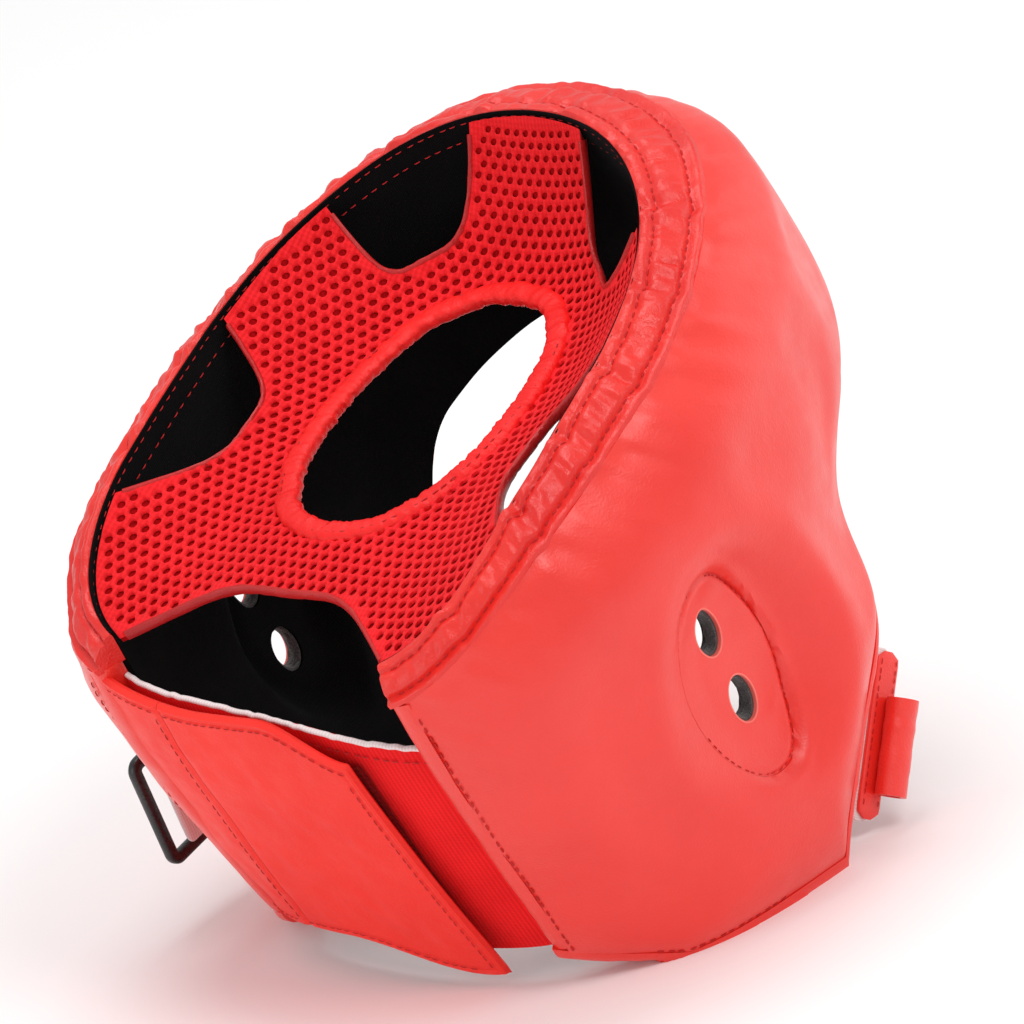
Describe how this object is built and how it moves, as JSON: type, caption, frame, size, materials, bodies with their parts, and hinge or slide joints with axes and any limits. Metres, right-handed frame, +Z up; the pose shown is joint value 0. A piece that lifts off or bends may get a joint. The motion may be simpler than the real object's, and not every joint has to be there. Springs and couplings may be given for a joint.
{
  "type": "boxing headgear",
  "caption": "Padded leather boxing headgear with a crown web, cheek guards and an adjustable rear closure, to protect a boxer's head in sparring.",
  "frame": {"origin": "centre of the bounding box's bottom face, on the surface that the two cheek guards stand on", "axes": "+Z up, face opening towards -Y, rear closure towards +Y, wearer's right towards -X"},
  "size_m": [0.22, 0.2266, 0.2217],
  "materials": {
    "red_leather": "satin",
    "deep_red_leather": "satin",
    "black_lining": "matte",
    "black_foam": "matte",
    "red_mesh": "matte",
    "red_elastic": "matte",
    "white_backing": "matte",
    "hook_and_loop": "matte",
    "black_plastic": "gloss"
  },
  "bodies": {
    "shell": {"outer_cover": "red_leather", "inner_lining": "black_lining", "forehead_foam": "black_foam", "side_foam_right": "black_foam", "side_foam_left": "black_foam", "rim_hem": "red_leather", "lower_edge_roll": "red_leather", "rear_edge_right": "red_leather", "rear_edge_left": "red_leather", "ear_panel_right": "red_leather", "ear_panel_left": "red_leather", "ear_hole_liner_upper_right": "black_foam", "ear_hole_liner_lower_right": "black_foam", "ear_hole_liner_upper_left": "black_foam", "ear_hole_liner_lower_left": "black_foam", "crown_web": "red_mesh", "crown_hole_binding": "red_leather", "web_edge_rear": "deep_red_leather", "web_edge_right": "deep_red_leather", "web_edge_left": "deep_red_leather", "web_edge_front_right": "deep_red_leather", "web_edge_front_left": "deep_red_leather", "elastic_panel": "red_elastic", "loop_patch": "hook_and_loop", "flap_root": "deep_red_leather"},
    "closure_flap": {"closure_flap": "red_leather", "hook_patch": "hook_and_loop"},
    "chin_tab": {"chin_tab_leather": "red_leather", "chin_tab_backing": "white_backing", "chin_tab_loop": "red_leather"},
    "ring_strap": {"ring_strap": "red_leather", "ring_strap_tongue": "white_backing"},
    "ring": {"strap_ring": "black_plastic"}
  },
  "joints": [
    {"name": "flap_hinge", "type": "hinge", "parent": "shell", "child": "closure_flap", "pos_m": [0.0344, 0.09865, 0.05812], "axis": [-0.0167, -0.3558, -0.9344], "range_deg": [0, 110]},
    {"name": "chin_tab_hinge", "type": "hinge", "parent": "shell", "child": "chin_tab", "pos_m": [-0.08697, -0.04672, 0.02883], "axis": [-0.0406, 0.565, -0.8241], "range_deg": [0, 30]},
    {"name": "ring_strap_hinge", "type": "hinge", "parent": "shell", "child": "ring_strap", "pos_m": [0.10722, 0.01492, 0.04647], "axis": [-0.0102, -0.1543, -0.988], "range_deg": [0, 60]},
    {"name": "ring_pivot", "type": "hinge", "parent": "ring_strap", "child": "ring", "pos_m": [0.10522, 0.04595, 0.04164], "axis": [-0.0102, -0.1543, -0.988], "range_deg": [0, 75]}
  ]
}
